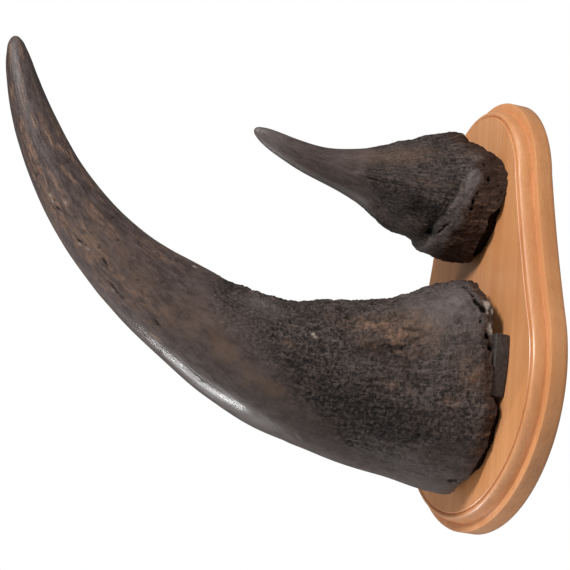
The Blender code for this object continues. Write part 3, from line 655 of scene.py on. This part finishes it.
def horn_object(name, grid):
    """Mesh of a horn with its masks as attributes. Towards the tip it has half the columns."""
    place, relief, masks = grid
    spec = place.spec
    points = horn_surface(spec, place.share, place.angle, relief)
    seat_level = -(THICKNESS + 2 * GAP + spec["board"][0][1])
    rows, sides = place.share.shape
    for row in points[:RIM_ROWS]:
        keep_off_board(row, *spec["board"], seat_level, 0.002)
    under, seat_middle = under_rings(points[0].copy(), spec, seat_level)
    tip_y, tip_z, _ = axis_frame(spec, np.array(1.0))
    extra = len(under)
    split = int(np.argmin(np.abs(place.share[:, 0] - spec["halve_at"])))
    half = sides // 2

    def packed(field):
        """One field of the whole mesh, its under rings like the rim, then two end points."""
        full = np.concatenate([np.repeat(field[:1], extra, axis=0), field[:split]])
        thin = field[split:, ::2]
        tail = field.shape[2:]
        return np.concatenate([full.reshape(-1, *tail), thin.reshape(-1, *tail),
                               field[:1, 0], field[-1:, 0]])

    vertices = np.concatenate([np.concatenate(under), points[:split].reshape(-1, 3),
                               points[split:, ::2].reshape(-1, 3), seat_middle[None],
                               np.array([[0.0, tip_y, tip_z]])])
    full_rings = extra + split
    i = np.arange(sides)
    j = (i + 1) % sides
    seam = (full_rings - 1) * sides
    top = full_rings * sides
    c = np.arange(half)
    d = (c + 1) % half
    triangles = [np.stack((seam + 2 * c, seam + 2 * c + 1, top + c), axis=-1),
                 np.stack((seam + 2 * c + 1, top + d, top + c), axis=-1),
                 np.stack((seam + 2 * c + 1, seam + 2 * d, top + d), axis=-1)]
    last = top + (rows - split - 1) * half
    ends = len(vertices) - 2
    triangles.append(np.stack((j, i, np.full(sides, ends)), axis=-1))
    triangles.append(np.stack((last + c, last + d, np.full(half, ends + 1)), axis=-1))
    mesh = bpy.data.meshes.new(name)
    faces = np.concatenate((quads(0, sides, full_rings), quads(top, half, rows - split)))
    mesh.from_pydata(vertices.tolist(), [], faces.tolist() + np.concatenate(triangles).tolist())
    layer = mesh.attributes.new("grain", "FLOAT_VECTOR", "POINT")
    layer.data.foreach_set("vector", packed(place.grain).astype(np.float32).ravel())
    # painted shade: the under rings, the foot and the seat are marked to be coloured near black for the
    # shade under the horn; the rim ring gets half
    inside = np.zeros(len(vertices), np.float32)
    inside[:extra * sides] = 1.0
    inside[(extra - 1) * sides:extra * sides] = 0.5
    inside[ends] = 1.0
    fields = {key: packed(np.broadcast_to(values, place.share.shape)) for key, values in masks.items()}
    fields["inside"] = inside
    for key, values in fields.items():
        layer = mesh.attributes.new(key, "FLOAT", "POINT")
        layer.data.foreach_set("value", values.astype(np.float32).ravel())
    body = bmesh.new()
    body.from_mesh(mesh)
    bmesh.ops.recalc_face_normals(body, faces=body.faces)
    body.to_mesh(mesh)
    body.free()
    mesh.shade_smooth()
    return add_object(name, mesh)


# Node helpers
class Graph:
    """Small helper that adds nodes to a material and links them."""

    def __init__(self, name):
        self.material = bpy.data.materials.new(name)
        self.material.use_nodes = True
        self.tree = self.material.node_tree
        self.shader = self.tree.nodes["Principled BSDF"]

    def node(self, kind, **values):
        item = self.tree.nodes.new(kind)
        for key, value in values.items():
            setattr(item, key, value)
        return item

    def put(self, socket, value):
        if isinstance(value, bpy.types.NodeSocket):
            self.tree.links.new(value, socket)
        else:
            socket.default_value = value

    def set(self, name, value):
        self.put(self.shader.inputs[name], value)

    def attribute(self, name, vector=False):
        item = self.node("ShaderNodeAttribute", attribute_name=name)
        return item.outputs["Vector" if vector else "Fac"]

    def object_position(self):
        return self.node("ShaderNodeTexCoord").outputs["Object"]

    def noise(self, vector, scale, detail, rough, distortion=0.0):
        """Noise texture. A scale of three numbers stretches it along the axes."""
        if isinstance(scale, tuple):
            mapping = self.node("ShaderNodeMapping")
            self.put(mapping.inputs["Vector"], vector)
            mapping.inputs["Scale"].default_value = scale
            vector, scale = mapping.outputs[0], 1.0
        item = self.node("ShaderNodeTexNoise")
        self.put(item.inputs["Vector"], vector)
        for key, value in (("Scale", scale), ("Detail", detail), ("Roughness", rough),
                           ("Distortion", distortion)):
            item.inputs[key].default_value = value
        return item.outputs[0]

    def math(self, operation, a, b=0.0, clamp=False):
        item = self.node("ShaderNodeMath", operation=operation, use_clamp=clamp)
        self.put(item.inputs[0], a)
        self.put(item.inputs[1], b)
        return item.outputs[0]

    def span(self, value, low, high, to_low=0.0, to_high=1.0):
        item = self.node("ShaderNodeMapRange", interpolation_type="SMOOTHSTEP")
        self.put(item.inputs["Value"], value)
        for key, end in (("From Min", low), ("From Max", high), ("To Min", to_low), ("To Max", to_high)):
            item.inputs[key].default_value = end
        return item.outputs["Result"]

    def mix(self, factor, a, b, blend="MIX"):
        item = self.node("ShaderNodeMix", data_type="RGBA", blend_type=blend)
        self.put(item.inputs["Factor"], factor)
        self.put(item.inputs["A"], (*a, 1.0) if isinstance(a, tuple) else a)
        self.put(item.inputs["B"], (*b, 1.0) if isinstance(b, tuple) else b)
        return item.outputs["Result"]

    def layered(self, colour, layers):
        """Mix in (texture, low, high, amount, tint) rows: the tint where the texture is high."""
        for texture, low, high, amount, tint in layers:
            colour = self.mix(self.span(texture, low, high, 0.0, amount), colour, tint)
        return colour

    def broken(self, name, texture, *ends):
        """A painted mask, broken up by a texture."""
        return self.math("MULTIPLY", self.attribute(name), self.span(texture, *ends), True)

    def bump(self, height, distance, normal=None, strength=1.0):
        item = self.node("ShaderNodeBump")
        self.put(item.inputs["Height"], height)
        item.inputs["Distance"].default_value = distance
        self.put(item.inputs["Strength"], strength)
        if normal is not None:
            self.put(item.inputs["Normal"], normal)
        return item.outputs["Normal"]


def horn_material(name):
    """Keratin: streaky and polished towards the tip, matt, grainy and fibrous below."""
    g = Graph(name)
    place = g.object_position()
    grain = g.attribute("grain", True)
    rough = g.attribute("rough")
    broad = g.noise(grain, (34, 34, 7), 4, 0.55)
    streak = g.noise(grain, (200, 200, 22), 5, 0.65)
    fibre = g.noise(grain, (430, 430, 60), 4, 0.65)
    fleck = g.noise(grain, (210, 210, 112), 5, 0.75, 0.6)
    mottle = g.noise(grain, (150, 150, 90), 4, 0.6)
    cloud = g.noise(place, 24, 4, 0.6)
    patchy = g.noise(place, 52, 3, 0.6)
    speckle = g.noise(place, 640, 3, 0.6)
    grains = g.noise(grain, (400, 400, 290), 4, 0.70, 0.4)
    # smooth keratin
    smooth = g.mix(g.span(mottle, 0.36, 0.64), (0.040, 0.026, 0.023), (0.082, 0.057, 0.051))
    smooth = g.layered(smooth, (
        (streak, 0.40, 0.66, 0.35, (0.046, 0.033, 0.031)),
        (speckle, 0.48, 0.68, 0.35, (0.135, 0.102, 0.092)),
        (patchy, 0.50, 0.68, 0.22, (0.112, 0.088, 0.084)),
        (broad, 0.46, 0.66, 0.30, (0.110, 0.080, 0.070))))
    # rough keratin
    coarse = g.mix(g.span(grains, 0.41, 0.58), (0.006, 0.004, 0.003), (0.108, 0.077, 0.067))
    coarse = g.layered(coarse, (
        (patchy, 0.46, 0.62, 0.45, (0.028, 0.020, 0.018)),
        (cloud, 0.44, 0.66, 0.30, (0.110, 0.084, 0.077)),
        (fibre, 0.52, 0.68, 0.60, (0.175, 0.130, 0.112)),
        (fibre, 0.46, 0.34, 0.70, (0.014, 0.009, 0.008))))
    colour = g.mix(rough, smooth, coarse)
    # paler grey mixed in: smoother skin and painted sheen, with a painted highlight at the rear horn's tip
    colour = g.mix(g.broken("pale_skin_and_sheen", mottle, 0.3, 0.6, 0.25, 0.75), colour, (0.156, 0.132, 0.128))
    colour = g.mix(g.broken("brown", patchy, 0.36, 0.60, 0.15, 0.65), colour, (0.125, 0.078, 0.054))
    colour = g.mix(g.broken("tan", fleck, 0.44, 0.62), colour, (0.222, 0.130, 0.086))
    # painted shade and darker skin: this mask darkens the colour, broken up by cloud and grains
    dark_and_shade = g.math("MULTIPLY", g.attribute("dark_and_shade"), g.span(cloud, 0.28, 0.60, 0.45, 1.0))
    dark_and_shade = g.math("MULTIPLY", dark_and_shade, g.span(grains, 0.42, 0.58, 1.0, 0.45), True)
    colour = g.mix(dark_and_shade, colour, (0.17, 0.15, 0.15), "MULTIPLY")
    colour = g.mix(g.broken("fray", mottle, 0.3, 0.6, 0.72, 0.96), colour, (0.042, 0.020, 0.013))
    colour = g.mix(g.broken("fray", fibre, 0.52, 0.68, 0.0, 0.6), colour, (0.185, 0.100, 0.056))
    colour = g.mix(g.broken("pale", speckle, 0.30, 0.60, 0.55, 1.0), colour, (0.62, 0.52, 0.44))
    # painted shade: near black in pits, cracks, creases and holes
    recess_shade = g.broken("recess_shade", speckle, 0.25, 0.45, 0.9, 1.0)
    colour = g.mix(recess_shade, colour, (0.004, 0.003, 0.002))
    # painted shade: the horn's underside, foot and seat are near black
    inside = g.broken("inside", cloud, 0.3, 0.6, 0.8, 1.0)
    colour = g.mix(inside, colour, (0.005, 0.003, 0.002))
    g.set("Base Color", colour)
    shine = g.mix(rough, g.span(mottle, 0.3, 0.7, 0.36, 0.54), g.span(cloud, 0.3, 0.7, 0.60, 0.78))
    shine = g.mix(g.attribute("polish"), shine, g.span(streak, 0.3, 0.7, 0.11, 0.22))
    g.set("Roughness", shine)
    dull = g.math("MAXIMUM", g.math("MULTIPLY", g.attribute("fray"), 0.6), g.math("MAXIMUM", inside, recess_shade))
    gloss = g.math("MULTIPLY", g.attribute("polish"), 0.30)
    g.set("Specular IOR Level", g.math("ADD", g.span(dull, 0.0, 1.0, 0.32, 0.04), gloss))
    even = g.math("SUBTRACT", 1.0, rough)
    normal = g.bump(mottle, 0.0016, strength=g.math("MULTIPLY", even, 0.20))
    for texture, distance, by_rough, rest in ((grains, 0.0038, 0.95, 0.03), (fibre, 0.0020, 0.75, 0.14),
                                              (speckle, 0.0008, 0.5, 0.12)):
        weight = g.math("ADD", g.math("MULTIPLY", rough, by_rough), rest)
        normal = g.bump(texture, distance, normal, weight)
    g.set("Normal", normal)
    return g.material


def wood_material():
    """Fine straight grain along Z under a satin varnish."""
    g = Graph("plaque_wood_look")
    place = g.object_position()
    bend = g.noise(place, (5, 5, 2.2), 2, 0.5)
    offset = g.node("ShaderNodeVectorMath", operation="MULTIPLY_ADD")
    g.put(offset.inputs[0], bend)
    offset.inputs[1].default_value = (0.018, 0.018, 0.0)
    g.put(offset.inputs[2], place)
    place = offset.outputs[0]
    years = g.noise(place, (58, 58, 2.0), 4, 0.55)
    lines = g.noise(place, (330, 330, 5.0), 4, 0.65)
    pores = g.noise(place, (1300, 1300, 60), 3, 0.6)
    blotch = g.noise(place, (14, 14, 7), 4, 0.6)
    colour = g.mix(g.span(years, 0.30, 0.70), (0.575, 0.245, 0.092), (0.650, 0.300, 0.126))
    colour = g.layered(colour, (
        (lines, 0.44, 0.70, 0.40, (0.430, 0.165, 0.058)),
        (pores, 0.56, 0.72, 0.40, (0.290, 0.105, 0.036)),
        (blotch, 0.45, 0.72, 0.40, (0.500, 0.200, 0.072))))
    g.set("Base Color", colour)
    g.set("Roughness", g.span(lines, 0.3, 0.7, 0.36, 0.48))
    g.set("Coat Weight", 0.35)
    g.set("Coat Roughness", 0.24)
    normal = g.bump(lines, 0.00012, strength=0.35)
    normal = g.bump(pores, 0.00010, normal, -0.35)
    g.set("Normal", normal)
    return g.material


def stain_material(name):
    """Dark stained board with a little grain left in it."""
    g = Graph(name)
    place = g.object_position()
    lines = g.noise(place, (26, 300, 300), 4, 0.6)
    cloud = g.noise(place, 60, 3, 0.6)
    colour = g.mix(g.span(lines, 0.38, 0.66), (0.021, 0.015, 0.013), (0.045, 0.034, 0.029))
    colour = g.layered(colour, ((cloud, 0.5, 0.75, 0.4, (0.066, 0.052, 0.046)),))
    g.set("Base Color", colour)
    g.set("Roughness", g.span(cloud, 0.3, 0.7, 0.62, 0.8))
    g.set("Normal", g.bump(lines, 0.0002, strength=0.5))
    return g.material


# Plaque and boards
def arc(centre, radius, start, end, segments):
    angles = np.radians(np.linspace(start, end, segments + 1)[:-1])
    return np.stack((centre[0] + radius * np.cos(angles), centre[1] + radius * np.sin(angles)), -1)


def lobe(centre_z, radius, start, end, segments, stretch):
    """An arc whose far half, away from the waist, is stretched in height."""
    points = arc((0.0, 0.0), radius, start, end, segments)
    far = points[:, 1] * math.sin(math.radians((start + end) / 2)) > 0
    points[:, 1] = centre_z + points[:, 1] * np.where(far, stretch, 1.0)
    return points


def plaque_outline():
    top = PLAQUE_HEIGHT / 2 - TOP_HALF_WIDTH * TOP_STRETCH
    bottom = -PLAQUE_HEIGHT / 2 + BOTTOM_HALF_WIDTH * BOTTOM_STRETCH
    to_top = TOP_HALF_WIDTH + WAIST_RADIUS
    to_bottom = BOTTOM_HALF_WIDTH + WAIST_RADIUS
    drop = (to_top ** 2 - to_bottom ** 2 + (top - bottom) ** 2) / (2 * (top - bottom))
    waist_x = math.sqrt(to_top ** 2 - drop ** 2)
    waist_z = top - drop
    top_angle = math.degrees(math.atan2(waist_z - top, waist_x))
    bottom_angle = math.degrees(math.atan2(waist_z - bottom, waist_x))
    return np.concatenate((
        lobe(top, TOP_HALF_WIDTH, top_angle, 180 - top_angle, 120, TOP_STRETCH),
        arc((-waist_x, waist_z), WAIST_RADIUS, -top_angle, -bottom_angle, 40),
        lobe(bottom, BOTTOM_HALF_WIDTH, 180 - bottom_angle, 360 + bottom_angle, 150,
             BOTTOM_STRETCH),
        arc((waist_x, waist_z), WAIST_RADIUS, 180 + bottom_angle, 180 + top_angle, 40)))


def moulding():
    """(inset, height above the wall) points from the back edge to the face."""
    points = [(0.0009, 0.0), (0.0003, 0.0003), (0.0, 0.0009)]
    points += [(0.0, 0.004), (0.0, 0.009), (0.0, SIDE_DEPTH - 0.0012)]
    points += [(0.0003, SIDE_DEPTH - 0.0004), (0.0011, SIDE_DEPTH)]
    points += [(0.0045, SIDE_DEPTH - 0.0001), (LEDGE_WIDTH - 0.0009, SIDE_DEPTH - 0.0002)]
    points += [(LEDGE_WIDTH - 0.0002, SIDE_DEPTH - 0.0004)]
    for i in range(15):
        turn = math.pi / 2 * (i / 14)
        points.append((BEAD_CREST - (BEAD_CREST - LEDGE_WIDTH) * math.cos(turn),
                       SIDE_DEPTH + BEAD_HEIGHT * math.sin(turn)))
    crest = SIDE_DEPTH + BEAD_HEIGHT
    for i in range(1, 8):
        turn = math.pi / 2 * i / 7
        points.append((BEAD_CREST + (BEAD_END - BEAD_CREST) * math.sin(turn),
                       GROOVE_LEVEL + (crest - GROOVE_LEVEL) * math.cos(turn)))
    points += [(BEAD_END + 0.0003, GROOVE_LEVEL - 0.0003), (FACE_INSET - 0.0002, GROOVE_LEVEL)]
    points += [(FACE_INSET, THICKNESS - 0.0005), (FACE_INSET + 0.0005, THICKNESS)]
    return points


def plaque_object():
    outline = plaque_outline()
    _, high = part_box("plaque")
    outline[:, 0] *= high[0] / outline[:, 0].max()
    ahead = np.roll(outline, -1, axis=0) - np.roll(outline, 1, axis=0)
    inward = np.stack((-ahead[:, 1], ahead[:, 0]), -1) / np.linalg.norm(ahead, axis=1)[:, None]
    body = bmesh.new()
    rows = []
    for inset, level in moulding():
        ring = outline + inward * inset
        rows.append([body.verts.new((x, -level, z)) for x, z in ring])
    count = len(outline)
    for row, ahead_row in zip(rows, rows[1:]):
        for i in range(count):
            j = (i + 1) % count
            body.faces.new((row[i], row[j], ahead_row[j], ahead_row[i]))
    body.faces.new(rows[0])
    body.faces.new(rows[-1])
    bmesh.ops.recalc_face_normals(body, faces=body.faces)
    return finished(body, "wooden_plaque", 38)


def board_object(name, size, height, bow_height):
    """A board with bowed ends and slightly worn, rounded edges."""
    width, depth, tall = size
    levels = np.linspace(-tall / 2, tall / 2, 25)
    right = [(width / 2 - (z - bow_height) ** 2 / (2 * BOW_RADIUS), z) for z in levels]
    outline = right + [(-x, z) for x, z in reversed(right)]
    body = bmesh.new()
    back = body.faces.new([body.verts.new((x, 0.0, z)) for x, z in outline])
    raised = bmesh.ops.extrude_face_region(body, geom=[back])["geom"]
    front = next(item for item in raised if isinstance(item, bmesh.types.BMFace))
    bmesh.ops.translate(body, verts=front.verts, vec=(0.0, -depth, 0.0))
    bmesh.ops.recalc_face_normals(body, faces=body.faces)
    crisp = [edge for edge in body.edges if edge.calc_face_angle() > math.radians(30)]
    bmesh.ops.bevel(body, geom=crisp, offset=0.0013, segments=4, profile=0.5, affect="EDGES")
    bmesh.ops.translate(body, verts=body.verts, vec=(0.0, -(THICKNESS + GAP), height))
    return finished(body, name, 30)


# The pieces
def dress(item, material, node):
    item.data.materials.clear()
    item.data.materials.append(material)
    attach(item, "root")
    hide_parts(node)


dress(horn_object("front_horn_skin", front_horn_grid()), horn_material("front_horn_look"), "front_horn")
dress(horn_object("rear_horn_skin", rear_horn_grid()), horn_material("rear_horn_look"), "rear_horn")
dress(plaque_object(), wood_material(), "plaque")
dress(board_object("front_board_stained", *FRONT["board"], FRONT_BOW_HEIGHT),
      stain_material("front_board_look"), "front_mounting_block")
dress(board_object("rear_board_stained", *REAR["board"], REAR_BOW_HEIGHT),
      stain_material("rear_board_look"), "rear_mounting_block")


# Studio
FLOOR_HEIGHT = -1.0
CAMERA_AZIMUTH = 68.0
CAMERA_ELEVATION = -15.0
CAMERA_ROLL = 4.43
CAMERA_DISTANCE = 2.34775
CAMERA_TARGET = (0.0, -0.22162, -0.00705)
CAMERA_LENS = 161.3
FILL_STRENGTH = 0.18
LIGHTS = (                      # name, place, aim, size and watts
    ("key", (1.15, -1.93, 0.89), (0.0, -0.15, 0.0), (0.5, 0.5), 55.0),
    ("under", (-0.62, -0.475, -0.85), (0.01, -0.32, -0.11), (0.08, 0.41), 4.3),
    ("side_fill", (-1.3, -1.2, -0.75), (0.0, 0.0, -0.12), (0.9, 0.9), 2.5),
    ("top_fill", (0.7, -0.6, 1.6), (0.0, -0.15, 0.0), (0.9, 0.9), 8.0),
)


def make_floor():
    body = bmesh.new()
    bmesh.ops.create_circle(body, cap_ends=True, segments=96, radius=9.0)
    floor = finished(body, "studio_floor", 30)
    floor.location = (0.0, 0.0, FLOOR_HEIGHT)
    g = Graph("studio_floor_look")
    g.set("Base Color", (0.82, 0.82, 0.81, 1.0))
    g.set("Roughness", 0.9)
    floor.data.materials.append(g.material)


def area_light(name, place, aim, size, watts):
    data = bpy.data.lights.new(name, "AREA")
    data.shape = "RECTANGLE"
    data.size, data.size_y = size
    data.energy = watts
    lamp = add_object(name, data)
    lamp.location = place
    turn = (Vector(place) - Vector(aim)).normalized()
    side = Vector((1.0, 0.0, 0.0))
    side = (side - turn * side.dot(turn)).normalized()
    lamp.rotation_euler = Matrix((side, turn.cross(side), turn)).transposed().to_euler()
    lamp.visible_camera = False


def make_world():
    world = bpy.data.worlds.new("studio_world")
    world.use_nodes = True
    tree = world.node_tree
    backdrop = tree.nodes["Background"]
    backdrop.inputs["Color"].default_value = (1.0, 1.0, 1.0, 1.0)
    backdrop.inputs["Strength"].default_value = 1.0
    fill = tree.nodes.new("ShaderNodeBackground")
    fill.inputs["Color"].default_value = (0.97, 0.98, 1.0, 1.0)
    fill.inputs["Strength"].default_value = FILL_STRENGTH
    path = tree.nodes.new("ShaderNodeLightPath")
    mix = tree.nodes.new("ShaderNodeMixShader")
    tree.links.new(path.outputs["Is Camera Ray"], mix.inputs[0])
    tree.links.new(fill.outputs[0], mix.inputs[1])
    tree.links.new(backdrop.outputs[0], mix.inputs[2])
    tree.links.new(mix.outputs[0], tree.nodes["World Output"].inputs["Surface"])
    bpy.context.scene.world = world


def make_camera():
    azimuth = math.radians(CAMERA_AZIMUTH)
    elevation = math.radians(CAMERA_ELEVATION)
    roll = math.radians(CAMERA_ROLL)
    back = Vector((math.sin(azimuth) * math.cos(elevation),
                   -math.cos(azimuth) * math.cos(elevation), math.sin(elevation)))
    level = (-back).cross(Vector((0.0, 0.0, 1.0))).normalized()
    upright = level.cross(-back)
    right = level * math.cos(roll) + upright * math.sin(roll)
    up = upright * math.cos(roll) - level * math.sin(roll)
    data = bpy.data.cameras.new("studio_camera")
    data.lens = CAMERA_LENS
    data.sensor_width = 36.0
    data.clip_start, data.clip_end = 0.05, 60.0
    camera = add_object("studio_camera", data)
    place = Vector(CAMERA_TARGET) + back * CAMERA_DISTANCE
    turn = Matrix((right, up, back)).transposed()
    camera.matrix_world = Matrix.Translation(place) @ turn.to_4x4()
    bpy.context.scene.camera = camera


make_floor()
make_world()
for light in LIGHTS:
    area_light(*light)
make_camera()
bpy.context.scene.view_settings.view_transform = "Standard"
